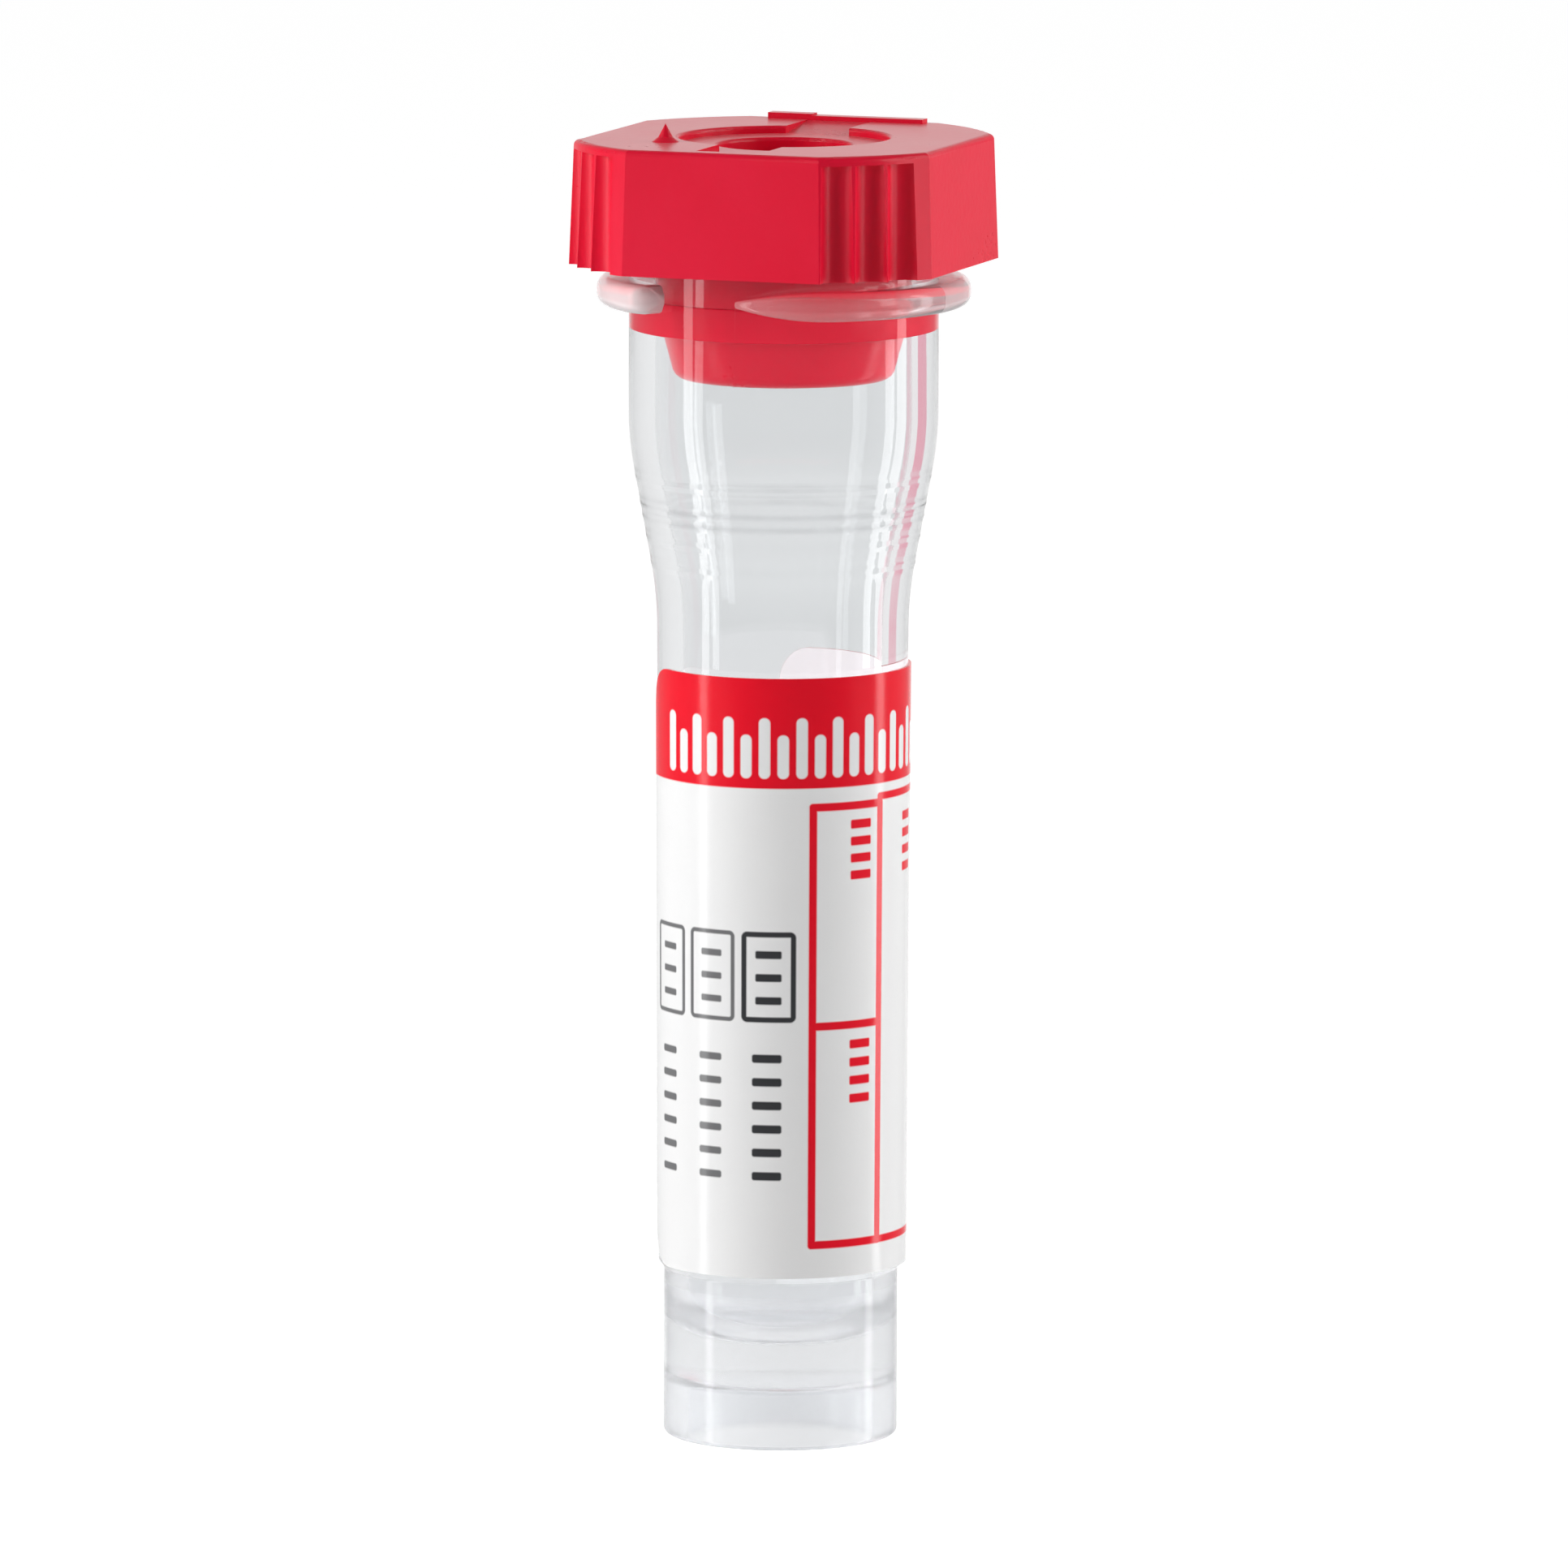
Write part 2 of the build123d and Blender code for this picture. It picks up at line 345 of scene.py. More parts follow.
def moulded_skin() -> bpy.types.NodeTree:
    """Build the effect of a moulded surface: faint flow lines, fine grain and uneven polish.

    Returns:
        A group that takes Place, Grain, Smoothest and Roughest, and gives Roughness, Height and Shade.
    """
    flow_scale, flow_share = 240.0, 0.7
    w = Group(
        "moulded_skin",
        {"Place": (0.0, 0.0, 0.0), "Grain": 3000.0, "Smoothest": 0.1, "Roughest": 0.2},
        ("Roughness", "Height", "Shade"),
    )
    place = w.given["Place"]
    fine = w.node("TexNoise", {"Vector": place, "Scale": w.given["Grain"], "Detail": 4.0}).outputs[0]
    broad = w.node("TexNoise", {"Vector": place, "Scale": flow_scale, "Detail": 2.0}).outputs[0]
    polish = w.math("MULTIPLY_ADD", broad, flow_share, w.math("MULTIPLY", fine, 1 - flow_share))
    spread = w.math("SUBTRACT", w.given["Roughest"], w.given["Smoothest"])
    roughness = w.math("MULTIPLY_ADD", polish, spread, w.given["Smoothest"])
    return w.give(Roughness=roughness, Height=fine, Shade=broad)


def painted_ring_shade() -> bpy.types.NodeTree:
    """Build painted shade in faint rings round the moulding's fine ridges, broken up along their way.

    Returns:
        A group that takes Place in metres, a ring's Height and Half Width in mm, and gives Mask.
    """
    patch_scale, faintest = 700.0, 0.35
    weak, strong = 0.3, 0.7  # levels of the noise between which a ring grows to its full strength
    w = Group("painted_ring_shade", {"Place": (0.0, 0.0, 0.0), "Height": 0.0, "Half Width": 0.1}, ("Mask",))
    up = w.math("MULTIPLY", w.parts(w.given["Place"])["Z"], 1 / MM)
    off = w.math("ABSOLUTE", w.math("SUBTRACT", up, w.given["Height"]))
    near = w.math("SUBTRACT", 1.0, w.math("MINIMUM", w.math("DIVIDE", off, w.given["Half Width"]), 1.0))
    patches = w.node("TexNoise", {"Vector": w.given["Place"], "Scale": patch_scale, "Detail": 1.0})
    strength = w.ramp(patches.outputs[0], weak, strong, faintest)
    return w.give(Mask=w.math("MULTIPLY", near, strength))


def wrap_place(radius: float) -> bpy.types.NodeTree:
    """Build the measure of a place on the wrapped film.

    Args:
        radius: The film's radius in mm.

    Returns:
        A group that takes Place in metres and gives Along, the arc from the front, and Up, both in mm.
    """
    w = Group("wrap_place", {"Place": (0.0, 0.0, 0.0)}, ("Along", "Up"))
    part = w.parts(w.given["Place"])
    turn = w.math("ARCTAN2", part["X"], w.math("MULTIPLY", part["Y"], -1.0))
    return w.give(Along=w.math("MULTIPLY", turn, radius), Up=w.math("MULTIPLY", part["Z"], 1 / MM))


def printed_marks() -> bpy.types.NodeTree:
    """Build the effect of a grid of equal printed marks with rounded corners, filled or outlined.

    Returns:
        A group that takes Along and Up in mm, the grid and the mark's sizes, and gives Mask.
    """
    w = Group(
        "printed_marks",
        {
            "Along": 0.0, "Up": 0.0, "First": 0.0, "Pitch": 1.0, "Count": 1.0, "Low": 0.0, "Rise": 1.0,
            "Rows": 1.0, "Half Width": 0.5, "Half Height": 0.5, "Corner": 0.1, "Line": FILLED,
        },
        ("Mask",),
    )
    beyond = []
    for place, first, pitch, count, half in (
        ("Along", "First", "Pitch", "Count", "Half Width"), ("Up", "Low", "Rise", "Rows", "Half Height")
    ):
        start = w.math("SUBTRACT", w.given[place], w.given[first])
        nearest = w.math("ROUND", w.math("DIVIDE", start, w.given[pitch]))
        last = w.math("SUBTRACT", w.given[count], 1.0)
        which = w.math("MINIMUM", w.math("MAXIMUM", nearest, 0.0), last)
        off = w.math("ABSOLUTE", w.math("SUBTRACT", start, w.math("MULTIPLY", which, w.given[pitch])))
        beyond.append(w.math("ADD", w.math("SUBTRACT", off, w.given[half]), w.given["Corner"]))
    outer = [w.math("MAXIMUM", b, 0.0) for b in beyond]
    reach = w.math(
        "SQRT", w.math("ADD", w.math("MULTIPLY", outer[0], outer[0]), w.math("MULTIPLY", outer[1], outer[1]))
    )
    inner = w.math("MINIMUM", w.math("MAXIMUM", beyond[0], beyond[1]), 0.0)
    edge = w.math("SUBTRACT", w.math("ADD", reach, inner), w.given["Corner"])
    half_line = w.math("MULTIPLY", w.given["Line"], 0.5)
    stroke = w.math("SUBTRACT", w.math("ABSOLUTE", w.math("ADD", edge, half_line)), half_line)
    return w.give(Mask=w.ramp(stroke, INK_EDGE, -INK_EDGE))


# ---------------------------------------------------------------- finishes
def new_material(name: str) -> tuple[bpy.types.Material, Wiring]:
    """Start a node material.

    Args:
        name: The material's name.

    Returns:
        The material and the wiring of its empty tree.
    """
    material = bpy.data.materials.new(name)
    material.use_nodes = True
    return material, Wiring(material.node_tree)


@dataclass(frozen=True)
class ClearPlastic:
    """Clear, slightly hazy moulded plastic."""

    name: str = "clear_plastic"
    tint: Colour = (0.872, 0.884, 0.892, 1.0)
    shade: Colour = (0.90, 0.90, 0.91, 1.0)  # what its shadow lets through
    clearness: float = 1.0
    refraction: float = 1.5
    smoothest: float = 0.01
    roughest: float = 0.05
    grain: float = 900.0
    ripple: float = 0.0000018  # m
    rings: tuple[float, ...] = ()  # mm; heights of the faint grey rings, painted shade over the flare's fine ridges
    ring_half_width: float = 0.13  # mm
    ring_shade_tint: Colour = (0.70, 0.71, 0.72, 1.0)

    def material(self, skin: bpy.types.NodeTree) -> bpy.types.Material:
        """Build the material.

        Args:
            skin: The moulded surface group.

        Returns:
            The finished material.
        """
        made, w = new_material(self.name)
        place = w.node("TexCoord").outputs["Object"]
        colour = self.tint
        # grey rings painted into the tint stand in for the darker lines that the fine ridges make in the
        # clear wall
        if self.rings:
            stamp = painted_ring_shade()
            for height in self.rings:
                mask = w.group(stamp, Place=place, Height=height, Half_Width=self.ring_half_width)["Mask"]
                colour = w.blend(mask, colour, self.ring_shade_tint)
        surface = w.group(
            skin, Place=place, Grain=self.grain, Smoothest=self.smoothest, Roughest=self.roughest
        )
        bump = w.node("Bump", {"Height": surface["Shade"], "Distance": self.ripple, "Strength": 1.0})
        plastic = w.node(
            "BsdfPrincipled",
            {
                "Base Color": colour, "Roughness": surface["Roughness"], "Normal": bump.outputs[0],
                "IOR": self.refraction, "Transmission Weight": self.clearness,
            },
        )
        open_way = w.node("BsdfTransparent", {"Color": self.shade})
        path = w.node("LightPath").outputs
        both = w.node(
            "MixShader", {0: path["Is Shadow Ray"], 1: plastic.outputs[0], 2: open_way.outputs[0]}
        )
        w.node("OutputMaterial", {"Surface": both.outputs[0]})
        return made


# painted shade rings on the two close ridges of the flare
WALL_PLASTIC = ClearPlastic(rings=(30.55, 30.97))
FOOT_PLASTIC = ClearPlastic(
    "foot_plastic", tint=(0.86, 0.87, 0.885, 1.0), clearness=0.8, smoothest=0.10, roughest=0.20
)
# the lugs' pink tint is painted light from the red cap; their haze steps up towards the blunt end, partly
# milkiness and partly painted paleness
LUG_PLASTICS = tuple(
    ClearPlastic(name, tint=(0.98, 0.88, 0.89, 1.0), clearness=clearness, smoothest=0.08, roughest=0.20)
    for name, clearness in (
        ("lug_tip_plastic", 0.83), ("lug_plastic", 0.74), ("lug_hazy_plastic", 0.55),
        ("lug_end_plastic", 0.32),
    )
)


@dataclass(frozen=True)
class RedPlastic:
    """Red soft-gloss moulded plastic."""

    deep: Colour = (0.74, 0.002, 0.024, 1.0)
    bright: Colour = (0.82, 0.004, 0.040, 1.0)
    refraction: float = 1.5
    shine: float = 0.35
    sheen: float = 0.10
    sheen_spread: float = 0.35
    smoothest: float = 0.24
    roughest: float = 0.34
    grain: float = 4200.0
    grain_height: float = 0.000006  # m
    most_bend: float = 9.0  # degrees that a smoothed direction may stray from its facet's own

    def material(self, skin: bpy.types.NodeTree) -> bpy.types.Material:
        """Build the material.

        Args:
            skin: The moulded surface group.

        Returns:
            The finished material.
        """
        made, w = new_material("red_plastic")
        place = w.node("TexCoord").outputs["Object"]
        surface = w.group(
            skin, Place=place, Grain=self.grain, Smoothest=self.smoothest, Roughest=self.roughest
        )
        facing = w.node("NewGeometry").outputs
        match = w.node(
            "VectorMath", {0: facing["Normal"], 1: facing["True Normal"]}, operation="DOT_PRODUCT"
        ).outputs["Value"]
        strayed = w.math("LESS_THAN", match, math.cos(math.radians(self.most_bend)))
        steady = w.node(
            "Mix", {0: strayed, 4: facing["Normal"], 5: facing["True Normal"]}, data_type="VECTOR"
        ).outputs[1]
        bump = w.node(
            "Bump",
            {
                "Height": surface["Height"], "Distance": self.grain_height, "Strength": 1.0,
                "Normal": steady,
            },
        )
        plastic = w.node(
            "BsdfPrincipled",
            {
                "Base Color": w.blend(surface["Shade"], self.deep, self.bright),
                "Roughness": surface["Roughness"], "Normal": bump.outputs[0],
                "IOR": self.refraction, "Specular IOR Level": self.shine,
                "Sheen Weight": self.sheen, "Sheen Roughness": self.sheen_spread,
            },
        )
        w.node("OutputMaterial", {"Surface": plastic.outputs[0]})
        return made


class Ink(Enum):
    """The colours printed on the label."""

    RED = (0.86, 0.004, 0.020, 1.0)
    WHITE = (0.88, 0.88, 0.88, 1.0)
    DARK = (0.045, 0.046, 0.05, 1.0)
    GREY = (0.17, 0.17, 0.175, 1.0)


@dataclass(frozen=True)
class Marks:
    """A grid of equal printed marks: its ink, its places and the mark's sizes, in mm."""

    ink: Ink
    first: float
    low: float
    half_width: float
    half_height: float
    corner: float
    line: float = FILLED
    pitch: float = 1.0
    count: int = 1
    rise: float = 1.0
    rows: int = 1


@dataclass(frozen=True)
class LabelFilm:
    """White label film with its print, which is fields of colour, frames and bars; its inner side glows with
    painted light.
    """

    paper: Colour = (0.88, 0.88, 0.88, 1.0)
    backing: Colour = (0.90, 0.90, 0.90, 1.0)
    backing_pink_glow: Colour = (0.92, 0.87, 0.88, 1.0)  # the backing behind the red band, a painted pink glow of the band's light through the film
    radius: float = 4.24  # mm; the print's widths are measured on it
    band_low: float = 22.03  # mm
    # painted glow of the film's inner side, standing in for light that comes through the paper
    painted_backing_glow: float = 0.42
    smoothest: float = 0.12
    roughest: float = 0.20
    grain: float = 6000.0
    grain_height: float = 0.000003  # m
    marks: tuple[Marks, ...] = (
        Marks(Ink.RED, 0.0, 24.53, 50.0, 2.5, 0.0),
        Marks(Ink.WHITE, -4.31, 23.36, 0.19, 1.0, 0.18, pitch=1.24, count=12),
        Marks(Ink.WHITE, -3.69, 23.08, 0.19, 0.72, 0.18, pitch=1.24, count=11),
        Marks(Ink.GREY, -4.52, 15.8, 0.88, 1.5, 0.2, line=0.14, pitch=2.04, count=2),
        Marks(Ink.DARK, -0.44, 15.8, 0.92, 1.5, 0.2, line=0.18),
        Marks(Ink.GREY, -4.52, 15.02, 0.4, 0.11, 0.06, pitch=2.04, count=2, rise=0.76, rows=3),
        Marks(Ink.DARK, -0.44, 15.02, 0.44, 0.13, 0.06, rise=0.76, rows=3),
        Marks(Ink.GREY, -4.55, 9.2, 0.44, 0.12, 0.08, pitch=2.03, count=2, rise=0.78, rows=6),
        Marks(Ink.DARK, -0.49, 9.2, 0.5, 0.14, 0.08, rise=0.78, rows=6),
        Marks(Ink.RED, 2.35, 10.525, 1.45, 3.76, 0.12, line=0.27, rise=7.25, rows=2),
        Marks(Ink.RED, 6.9, 14.25, 3.37, 7.48, 0.12, line=0.25),
        Marks(Ink.RED, 2.81, 19.1, 0.42, 0.15, 0.06, pitch=2.75, count=2, rise=0.56, rows=4),
        Marks(Ink.RED, 2.81, 11.7, 0.42, 0.15, 0.06, rise=0.6, rows=4),
    )

    def print_on(self, w: Wiring, place: bpy.types.NodeSocket) -> bpy.types.NodeSocket:
        """Lay every mark over the paper.

        Args:
            w: The material's wiring.
            place: The object's own coordinates.

        Returns:
            The colour of the printed side.
        """
        at = w.group(wrap_place(self.radius), Place=place)
        stamp = printed_marks()
        colour = self.paper
        for mark in self.marks:
            mask = w.group(
                stamp, Along=at["Along"], Up=at["Up"], First=mark.first, Pitch=mark.pitch,
                Count=mark.count, Low=mark.low, Rise=mark.rise, Rows=mark.rows,
                Half_Width=mark.half_width, Half_Height=mark.half_height, Corner=mark.corner,
                Line=mark.line,
            )["Mask"]
            colour = w.blend(mask, colour, mark.ink.value)
        return colour

    def material(self, skin: bpy.types.NodeTree) -> bpy.types.Material:
        """Build the material.

        Args:
            skin: The moulded surface group.

        Returns:
            The finished material.
        """
        made, w = new_material("label_film")
        place = w.node("TexCoord").outputs["Object"]
        # the inner side is painted pink behind the red band, and it glows to stand in for light through the
        # film
        behind_band = w.math("GREATER_THAN", w.parts(place)["Z"], self.band_low * MM)
        back = w.blend(behind_band, self.backing, self.backing_pink_glow)
        inside = w.node("Attribute", attribute_name=BACKING).outputs["Fac"]
        colour = w.blend(inside, self.print_on(w, place), back)
        surface = w.group(
            skin, Place=place, Grain=self.grain, Smoothest=self.smoothest, Roughest=self.roughest
        )
        bump = w.node(
            "Bump", {"Height": surface["Height"], "Distance": self.grain_height, "Strength": 1.0}
        )
        film = w.node(
            "BsdfPrincipled",
            {
                "Base Color": colour, "Roughness": surface["Roughness"], "Normal": bump.outputs[0],
                # painted glow, given off by the inner side only
                "Emission Color": w.blend(inside, BLACK, back),
                "Emission Strength": self.painted_backing_glow,
            },
        )
        w.node("OutputMaterial", {"Surface": film.outputs[0]})
        return made


# ---------------------------------------------------------------- the clear tube
@dataclass
class ClearTube:
    """The clear moulding: foot, body, flare, neck, rings and lugs. Sizes are in mm."""

    rim: float = field(default_factory=lambda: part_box("tube")[1].z / MM)
    foot_r: float = 3.85
    foot_edge: float = 0.18
    step_low: float = 5.55
    step_high: float = 5.8
    skirt_r: float = 3.03
    skirt_depth: float = 2.0
    skirt_round: float = 0.35
    skirt_edge: float = 0.05
    body_r: float = 4.04
    body_top_r: float = 4.14
    bore_floor: float = 3.3
    bore_low_r: float = 3.07
    bore_top_r: float = 3.29
    floor_round: float = 1.7
    flare_low: float = 27.9
    flare_high: float = 33.1
    low_round: float = 11.0
    high_round: float = 9.0
    neck_r: float = 5.08
    neck_bore_r: float = 4.22
    rim_round: float = 0.2
    ring_places: tuple[float, ...] = (0.21, 0.38, 0.51, 0.59, 0.757)  # shares of the way up the flare
    ring_height: float = 0.014
    ring_half_width: float = 0.18
    ring_crest_round: float = 0.25
    ring_foot_round: float = 0.12
    lug_low: float = 37.5
    lug_high: float = 38.45
    lug_root_r: float = 4.97
    lug_reach_r: float = 6.13
    lug_start: float = -21.0
    lug_sweep: float = 151.0
    lug_lead: float = 44.0
    lug_growth: float = 36.0
    lug_thin_end: float = 0.12
    lug_blunt_end: float = 0.3
    lug_end_round: float = 0.9
    lug_edge: float = 0.38
    lug_haze_and_light_steps: tuple[float, ...] = (58.5, 80.0, 102.0)  # degrees past the thin end; each step is hazier and paler, partly painted light
    lug_steps: int = 96
    hazy_below: float = 6.6
    steps: int = 192
    crease: float = 35.0

    def flare_corners(self) -> list[Corner]:
        """List the corners of the flare's outside with its fine rings, from low to high.

        Returns:
            The corners, with the ends of the flare rounded.
        """
        rise = self.flare_high - self.flare_low
        out = self.neck_r - self.body_top_r
        slope = math.hypot(rise, out)
        corners = [Corner(self.body_top_r, self.flare_low, self.low_round)]
        for place in self.ring_places:
            for step, stand in ((-1, 0.0), (0, self.ring_height), (1, 0.0)):
                share = place + step * self.ring_half_width / slope
                corners.append(
                    Corner(
                        self.body_top_r + out * share + stand * rise / slope,
                        self.flare_low + rise * share - stand * out / slope,
                        self.ring_crest_round if step == 0 else self.ring_foot_round,
                    )
                )
        corners.append(Corner(self.neck_r, self.flare_high, self.high_round))
        return corners

    def barrel(self) -> bmesh.types.BMesh:
        """Spin the tube's half section.

        Returns:
            The closed skin of the moulding without its lugs.
        """
        section = section_wire(
            [
                Corner(0, self.skirt_depth),
                Corner(self.skirt_r, self.skirt_depth, self.skirt_round),
                Corner(self.skirt_r, 0, self.skirt_edge),
                Corner(self.foot_r, 0, self.foot_edge),
                Corner(self.foot_r, self.step_low, self.foot_edge),
                Corner(self.body_r, self.step_high, self.foot_edge),
                *self.flare_corners(),
                Corner(self.neck_r, self.rim, self.rim_round),
                Corner(self.neck_bore_r, self.rim, self.rim_round),
                Corner(self.neck_bore_r, self.flare_high, self.high_round),
                Corner(self.bore_top_r, self.flare_low, self.low_round),
                Corner(self.bore_low_r, self.bore_floor, self.floor_round),
                Corner(0, self.bore_floor),
            ]
        )
        spin_section(section, 0, 360, self.steps)
        tidy_skin(section)
        return section

    def lug(self, turn: float) -> bmesh.types.BMesh:
        """Spin one lug and draw its thin end in to the wall.

        Args:
            turn: Degrees that this lug is turned from the first.

        Returns:
            The lug's closed skin, its root sunk in the neck's wall.
        """
        section = section_wire(
            [
                Corner(self.lug_root_r, self.lug_low),
                Corner(self.lug_reach_r, self.lug_low, self.lug_edge),
                Corner(self.lug_reach_r, self.lug_high, self.lug_edge),
                Corner(self.lug_root_r, self.lug_high),
            ],
            closed=True,
        )
        start = self.lug_start + turn
        spin_section(section, start, self.lug_sweep, self.lug_steps)
        bmesh.ops.holes_fill(section, edges=section.edges[:], sides=0)
        middle = (self.lug_low + self.lug_high) / 2
        for vert in section.verts:
            angle = degrees_past(start, vert.co)
            flat = Vector((vert.co.x, vert.co.y, 0))
            r = flat.length
            flat *= (self.lug_root_r + (r - self.lug_root_r) * self.reach_at(angle)) / r
            height = middle + (vert.co.z - middle) * self.thickness_at(angle)
            vert.co = Vector((flat.x, flat.y, height))
        tidy_skin(section)
        for face in section.faces:
            angle = degrees_past(start, face.calc_center_median())
            face.material_index = sum(angle > haze for haze in self.lug_haze_and_light_steps)
        return section

    def end_share(self, angle: float, corner: float) -> float:
        """Say how much of a lug's size its blunt end leaves.

        Args:
            angle: Degrees past the lug's thin end.
            corner: Length in mm over which the blunt end rounds off.

        Returns:
            A share that is 1 away from the blunt end.
        """
        left = max(0.0, self.lug_sweep - angle) * math.radians(1) * self.lug_reach_r
        if left >= corner:
            return 1.0
        return self.lug_blunt_end + (1 - self.lug_blunt_end) * math.sqrt(1 - (1 - left / corner) ** 2)

    def reach_at(self, angle: float) -> float:
        """Say how much of its full reach a lug has at an angle past its thin end."""
        grown = math.sin(min(1.0, angle / self.lug_lead) * math.pi / 2)
        return grown * self.end_share(angle, self.lug_end_round)

    def thickness_at(self, angle: float) -> float:
        """Say how much of its full thickness a lug has at an angle past its thin end."""
        grown = math.sin(min(1.0, angle / self.lug_growth) * math.pi / 2)
        return (self.lug_thin_end + (1 - self.lug_thin_end) * grown) * self.end_share(angle, self.lug_edge)

    def join(self, tube: bpy.types.Object, lugs: list[bpy.types.Object]) -> None:
        """Make the barrel and its lugs one skin, and bring it from mm to metres.

        Args:
            tube: The barrel, which becomes the whole tube.
            lugs: The lugs, which are used up.
        """
        for lug in lugs:
            union = tube.modifiers.new(lug.name, "BOOLEAN")
            union.operation = "UNION"
            union.solver = "EXACT"
            union.object = lug
            union.material_mode = "TRANSFER"
        bpy.context.view_layer.update()
        joined = bpy.data.meshes.new_from_object(tube.evaluated_get(bpy.context.evaluated_depsgraph_get()))
        tube.modifiers.clear()
        tube.data = joined
        joined.name = tube.name
        joined.transform(Matrix.Scale(MM, 4))
        for lug in lugs:
            bpy.data.objects.remove(lug)

    def build(
        self,
        wall_finish: bpy.types.Material,
        foot_finish: bpy.types.Material,
        lug_finishes: list[bpy.types.Material],
    ) -> bpy.types.Object:
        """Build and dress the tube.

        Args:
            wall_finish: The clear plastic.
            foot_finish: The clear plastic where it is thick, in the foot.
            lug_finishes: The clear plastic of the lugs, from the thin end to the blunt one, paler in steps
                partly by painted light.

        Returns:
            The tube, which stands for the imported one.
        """
        barrel = self.barrel()
        for face in barrel.faces:
            face.material_index = int(face.calc_center_median().z < self.hazy_below)
        tube = put_down("clear_tube", barrel, 1.0)
        tube.data.materials.append(wall_finish)
        tube.data.materials.append(foot_finish)
        lugs = [put_down(f"lug_{n}", self.lug(180.0 * n), 1.0) for n in range(2)]
        for lug in lugs:
            for lug_finish in lug_finishes:
                lug.data.materials.append(lug_finish)
        self.join(tube, lugs)
        smooth(tube, self.crease)
        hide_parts("tube")
        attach(tube, "body")
        log.info("tube: %d faces", len(tube.data.polygons))
        return tube


# ---------------------------------------------------------------- the cap
@dataclass
class Cap:
    """The red pierceable cap and the band of its plug that is pressed to the bore. Sizes are in mm."""

    band_root_r: float = 4.1
    band_r: float = 4.235
    band_low: float = 36.65
    band_high: float = 37.75
    band_round: float = 0.05
    band_steps: int = 128
    crease: float = 40.0

    def seal_band(self) -> bpy.types.Object:
        """Spin the band of the plug.

        Returns:
            The band, undressed.
        """
        ring = section_wire(
            [
                Corner(self.band_root_r, self.band_low),
                Corner(self.band_r, self.band_low, self.band_round),
                Corner(self.band_r, self.band_high, self.band_round),
                Corner(self.band_root_r, self.band_high),
            ],
            closed=True,
        )
        spin_section(ring, 0, 360, self.band_steps)
        tidy_skin(ring)
        band = put_down("seal_band", ring)
        smooth(band, self.crease)
        return band

    def build(self, finish: bpy.types.Material) -> bpy.types.Object:
        """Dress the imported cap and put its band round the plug.

        Args:
            finish: The red plastic.

        Returns:
            The cap.
        """
        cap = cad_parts["cap"]
        cap.data.materials[0] = finish
        band = self.seal_band()
        band.data.materials.append(finish)
        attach(band, "closure")
        log.info("cap: %d faces", len(cap.data.polygons))
        log.info("seal band: %d faces", len(band.data.polygons))
        return cap


# ---------------------------------------------------------------- the label
@dataclass
class WrapLabel:
    """The wrap label. Sizes are in mm and degrees."""

    low: float = field(default_factory=lambda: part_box("label")[0].z / MM)
    high: float = field(default_factory=lambda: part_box("label")[1].z / MM)
    low_r: float = 4.14
    high_r: float = 4.229
    film: float = 0.104
    start: float = -80.0
    sweep: float = 262.0
    corner: float = 1.2
    steps: int = 262
    crease: float = 40.0
    inward: float = -0.5  # a face that looks outwards less than this is on the film's back

    def inset_at(self, turn: float) -> float:
        """Say how far a round corner draws the film's long edges in.

        Args:
            turn: Degrees past the film's first edge.

        Returns:
            The distance in mm, 0 away from the corners.
        """
        along = max(0.0, min(turn, self.sweep - turn)) * math.radians(1) * self.high_r
        if along >= self.corner:
            return 0.0
        return self.corner - math.sqrt(self.corner**2 - (self.corner - along) ** 2)

    def sheet(self) -> bmesh.types.BMesh:
        """Bend the film's printed face round the wall and round its corners off.

        Returns:
            An open sheet that looks outwards; the film's thickness goes inwards from it.
        """
        shape = section_wire([Corner(self.low_r, self.low), Corner(self.high_r, self.high)])
        spin_section(shape, self.start, self.sweep, self.steps)
        middle = (self.low + self.high) / 2
        for vert in shape.verts:
            inset = self.inset_at(degrees_past(self.start, vert.co))
            height = vert.co.z + (inset if vert.co.z < middle else -inset)
            share = (height - self.low) / (self.high - self.low)
            flat = vert.co.to_2d().normalized() * (self.low_r + (self.high_r - self.low_r) * share)
            vert.co = Vector((flat.x, flat.y, height))
        bmesh.ops.recalc_face_normals(shape, faces=shape.faces[:])
        if sum(outwardness(face) for face in shape.faces) < 0:
            bmesh.ops.reverse_faces(shape, faces=shape.faces[:])
        return shape

    def build(self, finish: bpy.types.Material) -> bpy.types.Object:
        """Build and dress the label.

        Args:
            finish: The printed film.

        Returns:
            The label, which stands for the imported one.
        """
        shape = self.sheet()
        bmesh.ops.solidify(shape, geom=shape.faces[:], thickness=self.film)
        tidy_skin(shape)
        back = shape.faces.layers.float.new(BACKING)
        for face in shape.faces:
            face[back] = float(outwardness(face) < self.inward)
        label = put_down("wrap_label", shape)
        smooth(label, self.crease)
        label.data.materials.append(finish)
        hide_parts("label")
        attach(label, "body")
        log.info("label: %d faces", len(label.data.polygons))
        return label


# ---------------------------------------------------------------- the studio
@dataclass(frozen=True)
class Lamp:
    """A tall soft lamp: degrees round the tube, width in metres, brightness where 1 is white."""

    name: str
    angle: float
    width: float
    radiance: float
    height: float = 0.42
    distance: float = 0.25
    raised: float = 0.0
    glints: bool = True
    fills: bool = True


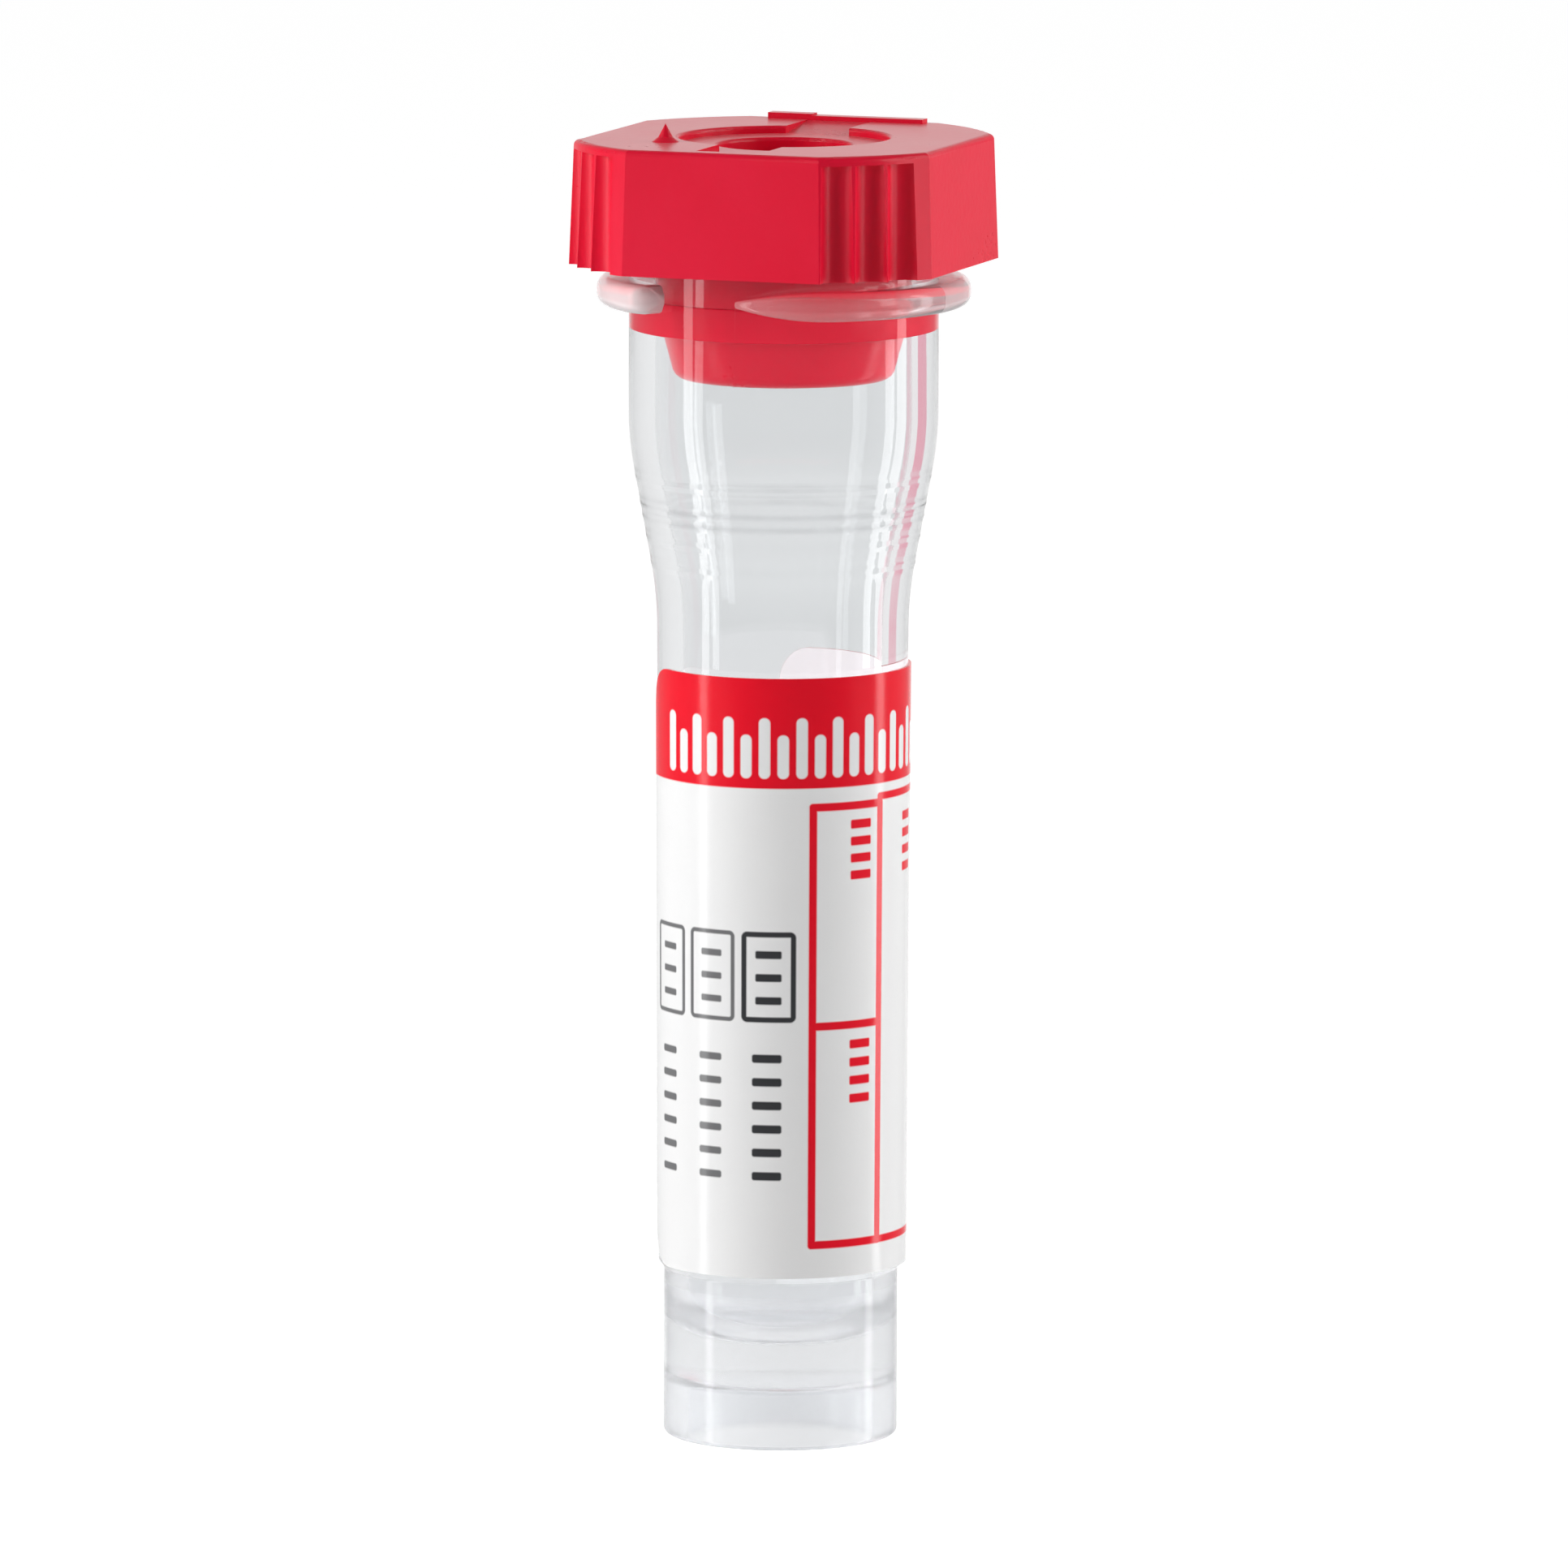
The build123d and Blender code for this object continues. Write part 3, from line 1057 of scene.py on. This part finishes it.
@dataclass
class Studio:
    """Camera, lamps, surroundings and floor. Lengths are in metres and angles in degrees."""

    distance: float = 0.520
    rise: float = 8.1
    lens: float = 362.9
    aim_height: float = 0.0216
    aim_across: float = 0.000056
    roll: float = 0.19
    turns: tuple[float, ...] = (-0.3, 0.78, 1.0)  # how far backwards a ray points: front, side, back
    shine: tuple[float, ...] = (0.05, 0.36, 1.0)  # what a reflection sees there
    front_end: float = 0.5  # how far backwards the dim front reaches in the plastic's inner reflections
    front_light: float = 0.2
    low_light: tuple[float, ...] = (-0.2, -0.45)  # how far down a ray points: floor's edge, floor
    floor_shine: float = 0.7
    ambient: float = 0.19
    ambient_inside: float = 1.65
    # a glowing card that paints the red parts' pink reflection into the clear wall
    card_angle: float = 140.0
    card_reach: float = 0.045
    card_size: tuple[float, ...] = (0.013, 0.026)
    card_height: float = 0.0235
    reflection_pink: Colour = (0.92, 0.42, 0.52, 1.0)
    floor_half: float = 4.0
    floor_paint: Colour = (0.85, 0.85, 0.85, 1.0)
    floor_thin_paint: Colour = (0.2, 0.2, 0.2, 1.0)  # takes the faint shadow that the camera sees
    floor_glow: float = 0.95
    lamps: tuple[Lamp, ...] = (
        Lamp("strip_left", -75.0, 0.036, 3.4, fills=False),
        Lamp("strip_right", 98.0, 0.045, 3.2, fills=False),
        Lamp("strip_high", 67.0, 0.050, 3.0, height=0.2, raised=0.085, fills=False),
        Lamp("fill_left", -70.0, 0.20, 4.9, glints=False),
        Lamp("fill_right", 90.0, 0.20, 4.4, glints=False),
        Lamp("fill_back", 170.0, 0.20, 1.6, glints=False),
    )

    def camera(self) -> None:
        """Stand the camera in front of the tube and a little over it."""
        data = bpy.data.cameras.new("camera")
        data.lens = self.lens
        camera = bpy.data.objects.new("camera", data)
        bpy.context.scene.collection.objects.link(camera)
        rise = math.radians(self.rise)
        back = Vector((0, -math.cos(rise), math.sin(rise)))
        camera.location = Vector((self.aim_across, 0, self.aim_height)) + back * self.distance
        camera.rotation_euler = (
            back.to_track_quat("Z", "Y") @ Matrix.Rotation(math.radians(self.roll), 3, "Z").to_quaternion()
        ).to_euler()
        bpy.context.scene.camera = camera

    def stand(self, lamp: Lamp) -> None:
        """Stand a tall soft lamp beside the tube.

        Args:
            lamp: The lamp's place, size and brightness.
        """
        data = bpy.data.lights.new(lamp.name, "AREA")
        data.shape = "RECTANGLE"
        data.size = lamp.width
        data.size_y = lamp.height
        data.energy = lamp.radiance * math.pi * lamp.width * lamp.height
        made = bpy.data.objects.new(lamp.name, data)
        made.location = around(lamp.distance, lamp.angle, self.aim_height + lamp.raised)
        towards = Vector((0, 0, self.aim_height)) - made.location
        made.rotation_euler = towards.to_track_quat("-Z", "Y").to_euler()
        made.visible_camera = False
        made.visible_diffuse = lamp.fills
        made.visible_glossy = lamp.glints
        made.visible_transmission = lamp.glints
        bpy.context.scene.collection.objects.link(made)

    def surroundings(self) -> None:
        """Make the world.

        The camera sees white, also straight through the plastic. Reflections see a dim front, grey
        sides and a white back. Matt surfaces are lit by one even level, and by a brighter one through
        the plastic.
        """
        world = bpy.data.worlds.new("surroundings")
        bpy.context.scene.world = world
        world.use_nodes = True
        world.cycles.sampling_method = "NONE"
        w = Wiring(world.node_tree)
        path = w.node("LightPath").outputs
        towards = w.parts(w.node("TexCoord").outputs["Generated"])
        ahead, aside, straight = self.turns
        dim, half, full = self.shine
        down = w.ramp(towards["Z"], *self.low_light)

        beside = w.ramp(towards["Y"], ahead, aside, dim, half)
        behind = w.ramp(towards["Y"], aside, straight, dim, full)
        below = w.math("MULTIPLY", down, self.floor_shine)
        bounced = w.math("SUBTRACT", path["Is Glossy Ray"], path["Is Transmission Ray"])
        about = w.math("MAXIMUM", w.math("MAXIMUM", beside, behind), below)
        shine = w.math("MULTIPLY", bounced, about)

        past = w.ramp(towards["Y"], ahead, self.front_end, self.front_light, 1.0)
        straight_on = w.math("LESS_THAN", path["Glossy Depth"], NO_BOUNCE)
        view = w.math("MAXIMUM", straight_on, w.math("MAXIMUM", past, down))
        lighting = w.math("GREATER_THAN", path["Diffuse Depth"], NO_BOUNCE)
        inside = w.math("MULTIPLY", lighting, self.ambient_inside)
        direct = w.math("MULTIPLY", view, w.math("SUBTRACT", 1.0, lighting))
        through = w.math("MULTIPLY", path["Is Transmission Ray"], w.math("ADD", inside, direct))

        seen = w.math("MAXIMUM", path["Is Camera Ray"], through)
        rest = w.math("MULTIPLY", path["Is Diffuse Ray"], self.ambient)
        level = w.math("MAXIMUM", seen, w.math("MAXIMUM", shine, rest))
        light = w.node("Background", {"Color": WHITE, "Strength": level})
        w.node("OutputWorld", {"Surface": light.outputs[0]})

    def pink_reflection_card(self) -> None:
        """Stand a small glowing pink card behind the tube, which shows only through its clear wall as a
        painted reflection of the red parts.
        """
        shape = bmesh.new()
        wide, high = (side / 2 for side in self.card_size)
        centre = around(self.card_reach, self.card_angle, self.card_height)
        across = around(1.0, self.card_angle + 90)
        up = Vector((0, 0, 1))
        corners = ((-1, -1), (1, -1), (1, 1), (-1, 1))
        shape.faces.new([shape.verts.new(centre + across * wide * a + up * high * b) for a, b in corners])
        card = put_down("pink_reflection_card", shape, 1.0)
        made, w = new_material("pink_reflection_card")
        height = w.parts(w.node("TexCoord").outputs["Object"])["Z"]
        rising = w.ramp(height, self.card_height - high, self.card_height)
        # painted reflection colour, white at the card's foot turning pink towards its middle and above
        glow = w.node("Emission", {"Color": w.blend(rising, WHITE, self.reflection_pink), "Strength": 1.0})
        w.node("OutputMaterial", {"Surface": glow.outputs[0]})
        card.data.materials.append(made)
        card.visible_camera = False
        card.visible_diffuse = False
        card.visible_glossy = False
        card.visible_shadow = False

    def floor(self) -> None:
        """Lay the pale floor, which takes only a faint shadow."""
        shape = bmesh.new()
        bmesh.ops.create_grid(shape, x_segments=1, y_segments=1, size=self.floor_half)
        floor = put_down("floor", shape, 1.0)
        made, w = new_material("floor_paint")
        path = w.node("LightPath").outputs
        paint = w.node("BsdfDiffuse", {"Color": self.floor_paint})
        thin = w.node("BsdfDiffuse", {"Color": self.floor_thin_paint})
        glow = w.node("Emission", {"Color": WHITE, "Strength": self.floor_glow})
        lit = w.node("AddShader", {0: thin.outputs[0], 1: glow.outputs[0]})
        both = w.node("MixShader", {0: path["Is Camera Ray"], 1: paint.outputs[0], 2: lit.outputs[0]})
        w.node("OutputMaterial", {"Surface": both.outputs[0]})
        floor.data.materials.append(made)
        floor.visible_glossy = False
        floor.visible_transmission = False

    def build(self) -> None:
        """Set up the whole studio."""
        self.camera()
        self.surroundings()
        for lamp in self.lamps:
            self.stand(lamp)
        self.floor()
        self.pink_reflection_card()
        bpy.context.scene.view_settings.view_transform = "Standard"


def main() -> None:
    """Build every piece, dress it and light it."""
    logging.basicConfig(level=logging.INFO, format="%(name)s %(message)s")
    skin = moulded_skin()
    Studio().build()
    ClearTube().build(
        WALL_PLASTIC.material(skin),
        FOOT_PLASTIC.material(skin),
        [plastic.material(skin) for plastic in LUG_PLASTICS],
    )
    Cap().build(RedPlastic().material(skin))
    WrapLabel().build(LabelFilm().material(skin))


if __name__ == "__main__":
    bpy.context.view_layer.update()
    main()
